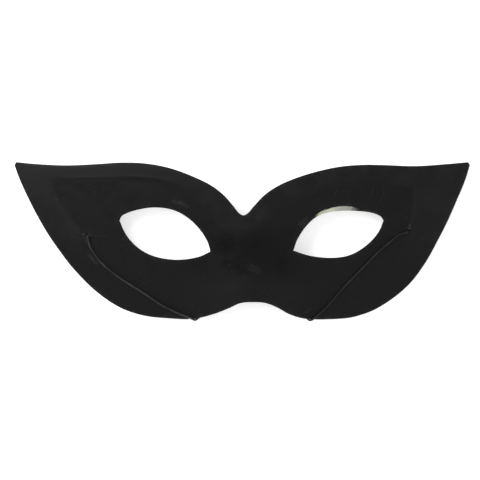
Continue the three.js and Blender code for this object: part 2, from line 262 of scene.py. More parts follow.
def colour_setting(name, description, default):
    return FloatVectorProperty(name=name, description=description, default=default, subtype="COLOR", size=3)


class ShellSettings(bpy.types.PropertyGroup):
    """Sizes and finish of the mask shell"""

    wall_thickness: length_setting("Wall thickness", "Thickness of the moulded wall", 0.0016)
    crown_height: length_setting("Crown height", "Height of the hollow side over the floor", 0.012)
    nose_height: length_setting("Nose height", "How far the nose bridge stands out", 0.0095)
    border_height: length_setting("Border height", "How far the border stands over the panel", 0.0005)
    lip_radius: length_setting("Lip radius", "Rounding of the face's edges", 0.00055)
    hole_diameter: length_setting("Elastic hole", "Diameter of the two holes for the elastic", 0.00105)
    fineness: length_setting("Fineness", "Spacing of the mesh points on the open face", 0.0008)
    colour: colour_setting("Plastic", "Colour of the black plastic", (0.0029, 0.0030, 0.0029))
    bare_colour: colour_setting("Bare plastic", "Colour where the black is missing", (0.50, 0.51, 0.37))
    roughness: FloatProperty(
        name="Roughness", description="Roughness of the face", default=0.42, min=0.0, max=1.0,
        subtype="FACTOR")


class ElasticSettings(bpy.types.PropertyGroup):
    """Size and colour of the elastic"""

    diameter: length_setting("Diameter", "Thickness of the round elastic", 0.0008)
    length: length_setting("Length", "Whole length of the elastic between its knots", 0.294)
    braid_pitch: length_setting("Braid pitch", "Length of one repeat of the braid", 0.0010)
    sides: IntProperty(name="Sides", description="Faces around the elastic", default=16, min=8, max=32)
    colour: colour_setting("Thread", "Colour of the covering thread", (0.019, 0.019, 0.0193))


class StageSettings(bpy.types.PropertyGroup):
    """Floor, lights and camera"""

    floor_colour: colour_setting("Floor", "Colour of the floor", (0.94, 0.94, 0.94))
    floor_glow: FloatProperty(
        name="Floor glow", description="Strength of the floor's own soft light", default=0.46, min=0.0)
    floor_size: length_setting("Floor size", "Side of the square floor", 6.0)
    camera_height: length_setting("Camera height", "Height of the camera over the floor", 4.0)
    picture_width: length_setting("Picture width", "Width of the floor that the picture takes in", 0.2003)
    key_power: FloatProperty(
        name="Key light", description="Power of the light at the upper left", default=20.5, unit="POWER")
    fill_power: FloatProperty(
        name="Fill light", description="Power of the light at the lower right", default=2.1, unit="POWER")
    sky_strength: FloatProperty(
        name="Sky", description="Strength of the even light from all round", default=0.90, min=0.0)


def smooth_step(low, high, value):
    share = np.clip((value - low) / (high - low), 0, 1)
    return share * share * (3 - 2 * share)


def blend(first, last, share):
    return first + (last - first) * share


def arc_drop(distance, radius):
    """How far an arc of this radius has dropped at a distance from its crown."""
    return radius - np.sqrt(radius * radius - distance * distance)


class MaskForm:
    """Heights of the mask over the floor, from its named sizes."""

    def __init__(self, shell):
        self.shell = shell

    def nose(self, x, y):
        down = np.clip((NOSE_TOP_Y - y) / NOSE_LENGTH, 0, 1)
        middle_x = blend(NOSE_X_AT_TOP, NOSE_X_AT_ARCH, down)
        across = (x - middle_x) / blend(NOSE_WIDTH_AT_TOP, NOSE_WIDTH_AT_ARCH, down)
        return self.shell.nose_height * smooth_step(0, 1, down) * np.exp(-across * across / 2)

    def nose_shade_and_matt_share(self, x, y):
        """Where the nose bridge gets painted shade in its colour and a duller finish, fading out before the
        arch.
        """
        down = (NOSE_TOP_Y - y) / NOSE_LENGTH
        across = (x - DARK_NOSE_X) / DARK_NOSE_WIDTH
        along = smooth_step(*DARK_NOSE_FROM, down) * (1 - smooth_step(*DARK_NOSE_UNTIL, down))
        return along * np.exp(-across * across / 2)

    def underside(self, x, y):
        centre = CENTRE_LINE_LEAN * (MASK_HALF_DEPTH - y) / (2 * MASK_HALF_DEPTH)
        dome = self.shell.crown_height - arc_drop(x - centre, WING_SWEEP_RADIUS)
        return dome - arc_drop(y, BROW_ROLL_RADIUS) + RESTING_PITCH * y + self.nose(x, y)

    def panel(self, x, y):
        """Height of the sunk panel: the underside with the wall's thickness on it."""
        step = 0.00005
        slope_x = (self.underside(x + step, y) - self.underside(x - step, y)) / (2 * step)
        slope_y = (self.underside(x, y + step) - self.underside(x, y - step)) / (2 * step)
        return self.underside(x, y) + self.shell.wall_thickness * np.sqrt(1 + slope_x**2 + slope_y**2)

    def border_share(self, y):
        return smooth_step(BORDER_GONE_BELOW_Y, BORDER_FULL_ABOVE_Y, y)


def evenly_spaced(line, step):
    """Points about one step apart along a line of close points, both ends included."""
    lengths = np.linalg.norm(np.diff(line, axis=0), axis=1)
    along = np.concatenate([[0], np.cumsum(lengths)])
    places = np.linspace(0, along[-1], max(2, int(math.ceil(along[-1] / step)) + 1))
    return np.column_stack([np.interp(places, along, axis) for axis in line.T])


def between(first, last, first_t, last_t, t):
    """The place at t on a straight way that is at first at first_t, and at last at last_t."""
    return ((last_t - t) * first + (t - first_t) * last) / (last_t - first_t)


POINTS_ON_A_SPAN = 40


def curve_through(points, step):
    """Points about one step apart on a centripetal Catmull-Rom curve through the given points."""
    given = np.array(points, float)
    given = np.vstack([2 * given[0] - given[1], given, 2 * given[-1] - given[-2]])
    parts = []
    for p0, p1, p2, p3 in zip(given, given[1:], given[2:], given[3:]):
        t1 = math.sqrt(np.linalg.norm(p1 - p0))
        t2 = t1 + math.sqrt(np.linalg.norm(p2 - p1))
        t3 = t2 + math.sqrt(np.linalg.norm(p3 - p2))
        t = np.linspace(t1, t2, POINTS_ON_A_SPAN, endpoint=False)[:, None]
        middle = between(p1, p2, t1, t2, t)
        before = between(between(p0, p1, 0, t1, t), middle, 0, t2, t)
        after = between(middle, between(p2, p3, t2, t3, t), t1, t3, t)
        parts.append(between(before, after, t1, t2, t))
    parts.append(given[-2:-1])
    return evenly_spaced(np.vstack(parts), step)


def joined_curves(lines, step):
    """A loop of curves end to end. The point where one ends and the next begins is held once."""
    curves = [curve_through(line, step) for line in lines]
    parts = []
    for curve, following in zip(curves, curves[1:] + curves[:1]):
        parts.append(curve[:-1] if np.allclose(curve[-1], following[0]) else curve)
    return np.vstack(parts)


def circle(centre, radius, count):
    turn = np.linspace(0, 2 * math.pi, count, endpoint=False)
    return np.column_stack([centre[0] + radius * np.cos(turn), centre[1] + radius * np.sin(turn)])


def anticlockwise(loop):
    x, y = loop.T
    area = np.sum(x * np.roll(y, -1) - np.roll(x, -1) * y)
    return loop if area > 0 else loop[::-1]


def distance_to(points, line, closed=True):
    """Distance of each point from a line of straight pieces."""
    start = line if closed else line[:-1]
    run = np.roll(line, -1, axis=0) - line if closed else np.diff(line, axis=0)
    square = np.maximum((run**2).sum(1), 1e-18)
    result = np.empty(len(points))
    block = 3000
    for first in range(0, len(points), block):
        gap = points[first:first + block, None, :] - start
        share = np.clip((gap * run).sum(2) / square, 0, 1)
        gap -= share[..., None] * run
        result[first:first + block] = np.sqrt((gap**2).sum(2).min(1))
    return result


def nearest_distance(points, lines, closed=True):
    return np.min([distance_to(points, line, closed) for line in lines], axis=0)


def is_inside(points, loop):
    """Which points lie inside a loop, by the crossings of a level line to their right."""
    x, y = points[:, 0, None], points[:, 1, None]
    next_x, next_y = np.roll(loop, -1, axis=0).T
    crosses = (loop[:, 1] > y) != (next_y > y)
    rise = np.where(next_y == loop[:, 1], 1.0, next_y - loop[:, 1])
    at = loop[:, 0] + (y - loop[:, 1]) * (next_x - loop[:, 0]) / rise
    return (crosses & (x < at)).sum(1) % 2 == 1


def offset_ring(loop, inwards):
    """An anticlockwise loop moved to its inner side, or to its outer side where inwards is negative."""
    along = np.roll(loop, -1, axis=0) - np.roll(loop, 1, axis=0)
    along /= np.linalg.norm(along, axis=1)[:, None]
    return loop + inwards * np.column_stack([-along[:, 1], along[:, 0]])


def with_nick(outline):
    """Cuts the small nick into the lower edge."""
    gap = outline - [NICK_X, -MASK_HALF_DEPTH]
    near = (np.abs(gap[:, 0]) < 1.5 * NICK_HALF_WIDTH) & (np.abs(gap[:, 1]) < 2 * NICK_DEPTH)
    edge_y = outline[near][:, 1].mean()
    shares = np.array([1.0, 0.45, 0.0, -0.45, -1.0])
    nick = np.column_stack([
        NICK_X + shares * NICK_HALF_WIDTH,
        edge_y + NICK_DEPTH * (1 - np.abs(shares)),
    ])
    if outline[near][0, 0] < outline[near][-1, 0]:
        nick = nick[::-1]
    first = int(np.flatnonzero(near)[0])
    return np.vstack([outline[:first], nick, outline[first:][~near[first:]]])


class MaskPlan:
    """The mask seen from above: the loops that bound it, the panel's outline and the strokes."""

    edge_step = 0.0006
    eye_step = 0.0005
    panel_step = 0.00055
    stroke_step = 0.0003
    points_round_hole = 24

    def __init__(self, shell):
        self.outline = anticlockwise(with_nick(joined_curves((UPPER_EDGE, LOWER_EDGE), self.edge_step)))
        self.left_eye = anticlockwise(joined_curves((LEFT_EYE_TOP, LEFT_EYE_BOTTOM), self.eye_step))
        self.right_eye = anticlockwise(joined_curves((RIGHT_EYE_TOP, RIGHT_EYE_BOTTOM), self.eye_step))
        radius = shell.hole_diameter / 2
        self.holes = [circle(hole, radius, self.points_round_hole) for hole in (HOLE_LEFT, HOLE_RIGHT)]
        self.openings = [self.left_eye, self.right_eye] + self.holes
        self.panel = anticlockwise(joined_curves((PANEL_TOP, PANEL_BOTTOM), self.panel_step))
        self.strokes = [curve_through(stroke, self.stroke_step) for stroke in STROKES]

    def loops(self):
        """Each bounding loop with the side its material is on: 1 inside it, -1 outside it."""
        return [(self.outline, 1)] + [(loop, -1) for loop in self.openings]

    def edge_distance(self, points):
        return nearest_distance(points, (self.outline, self.left_eye, self.right_eye))

    def hole_distance(self, points):
        return nearest_distance(points, self.holes)

    def rim_distance(self, points):
        return np.minimum(self.edge_distance(points), self.hole_distance(points))

    def border_distance(self, points):
        """Distance from the panel's outline, positive on the border and negative on the panel."""
        return distance_to(points, self.panel) * np.where(is_inside(points, self.panel), -1, 1)

    def stroke_distance(self, points):
        return nearest_distance(points, self.strokes, closed=False)

    def has_material(self, points):
        solid = is_inside(points, self.outline)
        for loop in self.openings:
            solid &= ~is_inside(points, loop)
        return solid


def lattice(low, high, spacing):
    """Points of an even triangular lattice over a rectangle."""
    row_height = spacing * math.sqrt(3) / 2
    rows = int((high[1] - low[1]) / row_height) + 1
    columns = int((high[0] - low[0]) / spacing) + 1
    i, j = np.meshgrid(np.arange(columns), np.arange(rows))
    return np.column_stack([
        (low[0] + (i + 0.5 * (j % 2)) * spacing).ravel(),
        (low[1] + j * row_height).ravel(),
    ])


LIP_SHARES = tuple(1 - math.cos(math.pi / 2 * k / 4) for k in range(1, 5))
BORDER_RINGS = tuple(share * MM for share in (-1.5, -1.0, -0.7, -0.45, -0.2, 0, 0.2, 0.45, 0.7, 1.0, 1.5))
RING_TOLERANCE = 0.02 * MM
RING_CLEARANCE = 0.2 * MM
STROKE_SPACING = 0.22 * MM
STROKE_MARGIN = 2 * STROKE_HALF_WIDTH
OPEN_CLEARANCE_SHARE = 0.45


def lip_points(plan, lip_radius):
    """Rings of points on the rounded lips of the outline and of every opening."""
    for loop, side in plan.loops():
        for share in LIP_SHARES:
            depth = share * lip_radius
            ring = offset_ring(loop, side * depth)
            clear = plan.rim_distance(ring) > depth - RING_TOLERANCE
            yield ring[clear & plan.has_material(ring)]


def border_points(plan, lip_radius):
    """Rings of points along the step from the border down to the panel."""
    for offset in BORDER_RINGS:
        ring = offset_ring(plan.panel, -offset)
        ring = ring[ring[:, 1] > BORDER_GONE_BELOW_Y]
        clear = plan.rim_distance(ring) > lip_radius + RING_CLEARANCE
        clear &= np.abs(plan.border_distance(ring)) > abs(offset) - RING_TOLERANCE
        yield ring[clear & plan.has_material(ring)]


def stroke_points(plan):
    """A fine lattice over the strokes alone."""
    strokes = np.vstack(plan.strokes)
    points = lattice(strokes.min(0) - STROKE_MARGIN, strokes.max(0) + STROKE_MARGIN, STROKE_SPACING)
    return points[plan.stroke_distance(points) < STROKE_MARGIN]


def open_points(plan, shell):
    """A wider lattice over the rest of the face."""
    high = (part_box("mask_shell")[1].x, MASK_HALF_DEPTH)
    points = lattice((-high[0], -high[1]), high, shell.fineness)
    points = points[plan.has_material(points)]
    clearance = OPEN_CLEARANCE_SHARE * shell.fineness
    on_step = np.abs(plan.border_distance(points)) < BORDER_RINGS[-1] + clearance
    on_step &= points[:, 1] > BORDER_GONE_BELOW_Y
    on_stroke = plan.stroke_distance(points) < STROKE_MARGIN + RING_CLEARANCE
    return points[(plan.rim_distance(points) > shell.lip_radius + clearance) & ~on_step & ~on_stroke]


def plan_mesh(plan, shell):
    """Points and triangles of the mask seen from above, and the loops as lists of point numbers."""
    loops, count = [], 0
    for loop, _ in plan.loops():
        loops.append(np.arange(count, count + len(loop)))
        count += len(loop)
    points = np.vstack([
        *(loop for loop, _ in plan.loops()),
        *lip_points(plan, shell.lip_radius),
        *border_points(plan, shell.lip_radius),
        stroke_points(plan),
        open_points(plan, shell),
    ])
    edges = [(int(a), int(b)) for loop in loops for a, b in zip(loop, np.roll(loop, -1))]
    _, _, faces, origins, _, _ = delaunay_2d_cdt([Vector(p) for p in points], edges, [], 0, 1e-8, True)
    source = np.array([origin[0] if origin else -1 for origin in origins])
    triangles = source[np.array(faces)]
    triangles = triangles[(triangles >= 0).all(1)]
    triangles = triangles[plan.has_material(points[triangles].mean(1))]
    return points, triangles, loops


def lip_drop(distance, radius):
    """How far a rounded lip has dropped at a distance inside its edge."""
    short = np.clip(radius - distance, 0, radius)
    return radius - np.sqrt(radius * radius - short * short)


def face_relief(plan, form, points):
    """What stands over the sunk panel or dips into it: the border with its bead, strokes and dimples."""
    x, y = points.T
    off_border = plan.border_distance(points) + BORDER_STEP_INSET
    at_side = (1 - smooth_step(*SIDE_BORDER_Y, y)) * smooth_step(*SIDE_BORDER_X, np.abs(x))
    for corner_x, corner_y in (PANEL_TOP[0], PANEL_TOP[-1]):
        from_corner = np.hypot(x - corner_x, y - corner_y)
        at_side = np.maximum(at_side, 1 - smooth_step(*PANEL_CORNER_SOFT, from_corner))
    at_brow = 1 - smooth_step(*BROW_BORDER_X, np.abs(x))
    half_width = blend(BORDER_SLOPE, SIDE_BORDER_SLOPE, at_side)
    half_width += (BROW_BORDER_SLOPE - BORDER_SLOPE) * at_brow
    border = smooth_step(-half_width, half_width, off_border)
    bead = np.exp(-((off_border - half_width) / BEAD_WIDTH) ** 2) * (1 - np.maximum(at_side, at_brow))
    relief = form.shell.border_height * (border + BEAD_HEIGHT_SHARE * bead) * form.border_share(y)
    crest = STROKE_CREST_SHARE * STROKE_HALF_WIDTH
    relief += STROKE_HEIGHT * (1 - smooth_step(crest, STROKE_HALF_WIDTH, plan.stroke_distance(points)))
    for (at_x, at_y), radius, depth in DIMPLES:
        relief -= depth * np.exp(-((x - at_x) ** 2 + (y - at_y) ** 2) / radius**2)
    return relief


WAVE_HEIGHT = 0.02 * MM


def waviness(x, y):
    """The slight unevenness of a thin moulded sheet, by waves that cross each other."""
    waves = np.sin(310 * x + 140 * y) * np.cos(230 * y - 90 * x)
    waves += 0.6 * np.sin(520 * x - 260 * y + 1.3) * np.sin(410 * y + 0.4)
    return WAVE_HEIGHT * waves


def upper_wall_shift(plan, points):
    """How far the hollow side reaches into the right eye hole under its sloping upper wall."""
    x, y = points.T
    across = (x - UPPER_WALL_MIDDLE) / UPPER_WALL_HALF_WIDTH
    share = np.where(np.abs(across) < 1, (1 + np.cos(math.pi * across)) / 2, 0)
    fade = 1 - smooth_step(0, UPPER_WALL_REACH, distance_to(points, plan.right_eye))
    return np.where(y > UPPER_WALL_ABOVE_Y, UPPER_WALL_SLOPE * share * fade, 0)


def bare_share(x, y):
    """Where the right eye hole's upper wall shows the plastic under the black."""
    along = smooth_step(*BARE_FROM, x) * (1 - smooth_step(*BARE_UNTIL, x))
    return np.where(y > UPPER_WALL_ABOVE_Y, along, 0)


def add_attribute(mesh, name, parts):
    """Keeps a share at each point of the mesh, from the shares of its parts in order."""
    attribute = mesh.attributes.new(name, "FLOAT", "POINT")
    attribute.data.foreach_set("value", np.concatenate(parts).astype(np.float32))


def new_mesh_object(name, vertices, faces, material):
    mesh = bpy.data.meshes.new(name)
    mesh.from_pydata([tuple(v) for v in vertices], [], [tuple(int(i) for i in f) for f in faces])
    mesh.shade_smooth()
    mesh.materials.append(material)
    piece = bpy.data.objects.new(name, mesh)
    bpy.context.scene.collection.objects.link(piece)
    return piece


WALL_LEVELS = (0.2, 0.4, 0.6, 0.8)
WALL_WEAR = 0.75
WEAR_REACH = 0.8 * MM
ON_EDGE = 0.01 * MM
OFF_FLOOR = 0.02 * MM
HOLE_LIP_SHARE = 0.7
HOLLOW_LIP_SHARE = 0.55
HOLLOW_WAVE_SHARE = 0.5
HOLLOW_WAVE_SHIFT = 0.01


def face_points(form, plan, points, at_edge, at_hole):
    """The plan's points at the height of the face."""
    x, y = points.T
    height = form.panel(x, y) + face_relief(plan, form, points) + waviness(x, y)
    lip_radius = form.shell.lip_radius
    height -= lip_drop(at_edge, lip_radius) + lip_drop(at_hole, HOLE_LIP_SHARE * lip_radius)
    return np.column_stack([x, y, height])


def hollow_points(form, plan, points, at_edge, at_hole):
    """The plan's points at the height of the hollow side, moved where the upper wall slopes."""
    x, y = points[:, 0], points[:, 1] - upper_wall_shift(plan, points)
    height = form.underside(x, y) + HOLLOW_WAVE_SHARE * waviness(x + HOLLOW_WAVE_SHIFT, y)
    lip_radius = HOLLOW_LIP_SHARE * form.shell.lip_radius
    height += lip_drop(at_edge, lip_radius) + lip_drop(at_hole, lip_radius)
    return np.column_stack([x, y, np.maximum(height, OFF_FLOOR)])


def wall_triangles(levels, side):
    """The wall between rings of point numbers, from the face's ring down to the hollow side's."""
    for upper, lower in zip(levels, levels[1:]):
        corners = [upper, lower, np.roll(lower, -1), np.roll(upper, -1)]
        if side < 0:
            corners[1], corners[3] = corners[3], corners[1]
        quads = np.column_stack(corners)
        yield quads[:, [0, 1, 2]]
        yield quads[:, [0, 2, 3]]


def shell_mesh(shell, material):
    """The whole shell: face, hollow side and the walls between them, as one closed mesh."""
    form, plan = MaskForm(shell), MaskPlan(shell)
    points, triangles, loops = plan_mesh(plan, shell)
    x, y = points.T
    count = len(points)
    at_edge, at_hole = plan.edge_distance(points), plan.hole_distance(points)
    top = face_points(form, plan, points, at_edge, at_hole)
    bottom = hollow_points(form, plan, points, at_edge, at_hole)
    vertices = [top, bottom]
    faces = [triangles, triangles[:, ::-1] + count]
    wear = [np.exp(-np.minimum(at_edge, at_hole) / WEAR_REACH)] * 2
    bare_lip = bare_share(x, y) * (1 - smooth_step(*BARE_LIP_UNTIL, x))
    bare_lip *= 1 - smooth_step(*BARE_LIP_WIDTH, distance_to(points, plan.right_eye))
    bare = [bare_lip, bare_share(x, y) * (at_edge < ON_EDGE)]
    made = 2 * count
    for numbers, (loop, side) in zip(loops, plan.loops()):
        rings = [numbers]
        for level in WALL_LEVELS:
            vertices.append(blend(top[numbers], bottom[numbers], level))
            wear.append(np.full(len(loop), WALL_WEAR))
            bare.append(bare_share(*loop.T) * (loop is plan.right_eye))
            rings.append(np.arange(made, made + len(loop)))
            made += len(loop)
        faces += wall_triangles(rings + [numbers + count], side)
    piece = new_mesh_object("mask_shell_dressed", np.vstack(vertices), np.vstack(faces), material)

    border_share = form.border_share(y)
    sunk = 1 - smooth_step(*MATTER_WITHIN, plan.border_distance(points)) * border_share
    sunk *= blend(LOWER_FACE_MATTER, 1, border_share)
    nose = form.nose_shade_and_matt_share(x, y)
    on_side, on_wall = np.zeros(count), np.zeros(made - 2 * count)
    add_attribute(piece.data, "edge_wear", wear)
    add_attribute(piece.data, "bare_wall", bare)
    add_attribute(piece.data, "sunk_panel", [sunk, sunk, on_wall + 1])
    add_attribute(piece.data, "nose_shade_and_matt", [nose, nose, on_wall])
    add_attribute(piece.data, "hollow_side", [on_side, on_side + 1, on_wall])
    return piece


def elastic_path(shell, elastic):
    """The elastic's middle line, from one knot over the face and through the coil to the other knot."""
    form, plan = MaskForm(shell), MaskPlan(shell)
    radius = elastic.diameter / 2

    def face_height(places):
        places = np.atleast_2d(np.array(places, float))
        return form.panel(*places.T) + face_relief(plan, form, places)

    def over_face(points):
        places = curve_through(points, ELASTIC_SPACING_ON_FACE)
        return np.column_stack([places, face_height(places) + radius + ELASTIC_LIFT])

    edge = plan.outline[plan.outline[:, 1] < CHEEK_EDGE_BELOW_Y]
    bend_line = np.column_stack([
        edge[:, 0], edge[:, 1] + EDGE_BEND_DEPTH, form.panel(*edge.T) - EDGE_BEND_BELOW_FACE])

    def bent_round_edge(points):
        """Moves the points outside the bend line to one distance from it."""
        moved = []
        for point in points:
            nearest = bend_line[np.argmin(np.linalg.norm(bend_line - point, axis=1))]
            away = point - nearest
            gap = np.linalg.norm(away)
            share = 1 - smooth_step(*EDGE_BEND_WITHIN, gap) if away[1] < 0 else 0
            moved.append(nearest + away / gap * (gap + (EDGE_BEND - gap) * share))
        return np.array(moved)

    def through_hole(hole, towards):
        below = [hole.x, hole.y, form.underside(hole.x, hole.y)]
        rise = []
        for turn in np.linspace(0, math.pi / 2, HOLE_BEND_STEPS + 1):
            along = HOLE_BEND * (1 - math.cos(turn))
            place = [hole.x + along * towards[0], hole.y + along * towards[1]]
            rise.append([*place, face_height(place)[0] + HOLE_BEND * math.sin(turn) - HOLE_BEND_SINK])
        return np.array([[hole.x, hole.y, hole.z], below, *rise])

    middle = (COIL_LOW + COIL_HIGH) / 2
    coil_radius = (COIL_HIGH.x - COIL_LOW.x) / 2 - radius - COIL_PLAY
    turns = COIL_WHOLE_TURNS + (COIL_ENTRY - COIL_EXIT) / (2 * math.pi)
    steps = np.linspace(0, turns, math.ceil(turns * COIL_POINTS_PER_TURN) + 1)
    turn = COIL_ENTRY - 2 * math.pi * steps
    coil = np.column_stack([
        middle.x + coil_radius * np.cos(turn),
        middle.y + coil_radius * np.sin(turn),
        COIL_LOW.z + radius + COIL_PITCH * steps,
    ])
    route = np.vstack([
        through_hole(HOLE_LEFT, TOWARDS_LEFT),
        bent_round_edge(over_face(ELASTIC_OVER_LEFT)),
        bent_round_edge(np.array(ELASTIC_UNDER_LEFT)),
        coil,
        bent_round_edge(np.array(ELASTIC_UNDER_RIGHT)),
        bent_round_edge(over_face(ELASTIC_OVER_RIGHT)),
        through_hole(HOLE_RIGHT, TOWARDS_RIGHT)[::-1],
    ])
    path = curve_through(route, ELASTIC_SPACING)
    for _ in range(EVENING_PASSES):
        path[1:-1] += (path[:-2] + path[2:] - 2 * path[1:-1]) / 4
    return path


TUBE_END_SIZE = 0.55
TUBE_END_REACH = 0.4
SEAM_GUIDE = (0.3, 0.9, 0.1)


def turned_along(along):
    """A sideways direction at each point of a path, carried along it without a twist."""
    first = np.cross(along[0], SEAM_GUIDE)
    sideways = [first / np.linalg.norm(first)]
    for direction in along[1:]:
        across = sideways[-1] - direction * np.dot(sideways[-1], direction)
        sideways.append(across / np.linalg.norm(across))
    return np.array(sideways)


def tube_mesh(name, path, radius, sides, material, relief=None):
    """A closed round tube along a path, with its length in millimetres and its turn in a UV map."""
    count = len(path)
    along = np.gradient(path, axis=0)
    along /= np.linalg.norm(along, axis=1)[:, None]
    sideways = turned_along(along)
    upwards = np.cross(along, sideways)
    run = np.concatenate([[0], np.cumsum(np.linalg.norm(np.diff(path, axis=0), axis=1))])
    turn = np.linspace(0, 2 * math.pi, sides, endpoint=False)
    size = np.full((count, sides), radius)
    if relief:
        size = size * (1 + relief(run[:, None], turn[None, :]))
    size[[0, -1]] *= TUBE_END_SIZE
    rings = (
        path[:, None, :]
        + (size * np.cos(turn))[..., None] * sideways[:, None, :]
        + (size * np.sin(turn))[..., None] * upwards[:, None, :]
    ).reshape(-1, 3)
    reach = TUBE_END_REACH * radius
    vertices = np.vstack([rings, path[0] - reach * along[0], path[-1] + reach * along[-1]])
    faces, places = [], []
    for i in range(count - 1):
        for k in range(sides):
            a, b = i * sides + k, i * sides + (k + 1) % sides
            faces.append((a, b, b + sides, a + sides))
            places += [(run[i], k), (run[i], k + 1), (run[i + 1], k + 1), (run[i + 1], k)]
    first_end, last_ring = count * sides, (count - 1) * sides
    for k in range(sides):
        following = (k + 1) % sides
        faces.append((first_end, following, k))
        faces.append((first_end + 1, last_ring + k, last_ring + following))
        places += [(run[0], k), (run[0], k + 1), (run[0], k)]
        places += [(run[-1], k), (run[-1], k), (run[-1], k + 1)]
    piece = new_mesh_object(name, vertices, faces, material)
    uv = piece.data.uv_layers.new(name="Length and turn")
    uv.data.foreach_set("uv", (np.array(places) / (MM, sides)).ravel())
    return piece


class NodeTree:
    """Adds and links the nodes of one shader tree."""

    def __init__(self, tree):
        self.tree = tree
        self.column = 0

    def feed(self, socket, value):
        """Links a socket to another one, or gives it a value of its own."""
        if isinstance(value, bpy.types.NodeSocket):
            self.tree.links.new(value, socket)
        else:
            socket.default_value = value

    def feed_node(self, node, *values, **named):
        """Feeds a node's inputs in order, or by names that have underscores in place of spaces."""
        for socket, value in zip(node.inputs, values):
            self.feed(socket, value)
        for name, value in named.items():
            self.feed(node.inputs[name.replace("_", " ")], value)
        return node

    def add(self, kind, settings=None, *values, **named):
        node = self.tree.nodes.new(kind)
        node.location = (self.column, 0)
        self.column += 180
        for key, value in (settings or {}).items():
            setattr(node, key, value)
        return self.feed_node(node, *values, **named)

    def math(self, operation, *values, clamp=False):
        settings = {"operation": operation, "use_clamp": clamp}
        return self.add("ShaderNodeMath", settings, *values).outputs["Value"]

    def vector_math(self, operation, *values):
        node = self.add("ShaderNodeVectorMath", {"operation": operation}, *values)
        return node.outputs["Value" if operation in ("DOT_PRODUCT", "DISTANCE") else "Vector"]

    def mix(self, share, first, second, strength=1.0):
        """Lays the second colour over the first, where the share says and at this strength."""
        if strength != 1.0:
            share = self.math("MULTIPLY", share, strength)
        node = self.add("ShaderNodeMix", {"data_type": "RGBA"}, Factor=share)
        first_colour, second_colour = (socket for socket in node.inputs if socket.type == "RGBA")
        self.feed(first_colour, first)
        self.feed(second_colour, second)
        return node.outputs[2]

    def noise(self, vector, scale, detail=2.0, roughness=0.5):
        inputs = {"Vector": vector, "Scale": scale, "Detail": detail, "Roughness": roughness}
        return self.add("ShaderNodeTexNoise", **inputs).outputs[0]

    def attribute(self, name):
        return self.add("ShaderNodeAttribute", {"attribute_name": name}).outputs["Fac"]

    def spread(self, value, low, high, to_low=0.0, to_high=1.0, smooth=True):
        """Spreads the values between low and high over another range."""
        return self.add(
            "ShaderNodeMapRange", {"interpolation_type": "SMOOTHSTEP" if smooth else "LINEAR"},
            Value=value, From_Min=low, From_Max=high, To_Min=to_low, To_Max=to_high).outputs[0]

    def bump(self, strength, distance, height):
        bump = self.add("ShaderNodeBump", Strength=strength, Distance=distance, Height=height)
        return bump.outputs["Normal"]


def new_group(name, outputs, **inputs):
    """A group's empty tree, what it is given and what it puts out: a vector and inputs in, values out."""
    group = bpy.data.node_groups.new(name, "ShaderNodeTree")
    for label, default in {"Vector": (0.0, 0.0, 0.0), **inputs}.items():
        kind = "NodeSocketVector" if isinstance(default, tuple) else "NodeSocketFloat"
        socket = group.interface.new_socket(label.replace("_", " "), in_out="INPUT", socket_type=kind)
        socket.default_value = default
    for label in outputs:
        group.interface.new_socket(label, in_out="OUTPUT", socket_type="NodeSocketFloat")
    nodes = NodeTree(group)
    return nodes, nodes.add("NodeGroupInput").outputs, nodes.add("NodeGroupOutput")


def fine_grain_group():
    """The fine skin of a moulded or coated surface: small grains on a slightly uneven ground."""
    nodes, given, result = new_group(
        "Fine Grain", ("Height", "Mask"), Grains_per_metre=2600.0, Unevenness=0.5)
    where, scale = given["Vector"], given["Grains per metre"]
    grain = nodes.noise(where, scale, 2.0, 0.55)
    coarse = nodes.noise(where, nodes.math("MULTIPLY", scale, 0.16), 1.0)
    height = nodes.math("MULTIPLY_ADD", coarse, given["Unevenness"], grain)
    nodes.feed_node(result, Height=height, Mask=nodes.spread(grain, 0.42, 0.66))
    return nodes.tree


def dust_group():
    """Specks of dust and lint: small bright spots, thicker in some places than in others."""
    nodes, given, result = new_group("Dust", ("Mask",), Specks_per_metre=900.0, Amount=0.3)
    where = given["Vector"]
    cells = nodes.add("ShaderNodeTexVoronoi", Vector=where, Scale=given["Specks per metre"])
    speck = nodes.spread(cells.outputs["Distance"], 0.06, 0.16, 1.0, 0.0)
    patches = nodes.spread(nodes.noise(where, 70.0, 3.0, 0.6), 0.5, 0.72)
    shown = nodes.math("MULTIPLY", nodes.math("MULTIPLY", speck, patches), given["Amount"])
    nodes.feed_node(result, Mask=shown)
    return nodes.tree


def handling_group():
    """Marks of handling: soft smudges, and fine scratches that run mostly one way."""
    nodes, given, result = new_group(
        "Handling", ("Smudges", "Scratches"), Scratch_direction=(1.0, 0.35, 1.0), Smudge_scale=60.0)
    where = given["Vector"]
    smudges = nodes.spread(nodes.noise(where, given["Smudge scale"], 4.0, 0.62), 0.38, 0.68)
    drawn = nodes.vector_math("MULTIPLY", where, given["Scratch direction"])
    thin = nodes.spread(nodes.noise(drawn, 2400.0, 1.0), 0.655, 0.72)
    patches = nodes.spread(nodes.noise(where, 110.0, 2.0), 0.52, 0.66)
    nodes.feed_node(result, Smudges=smudges, Scratches=nodes.math("MULTIPLY", thin, patches))
    return nodes.tree


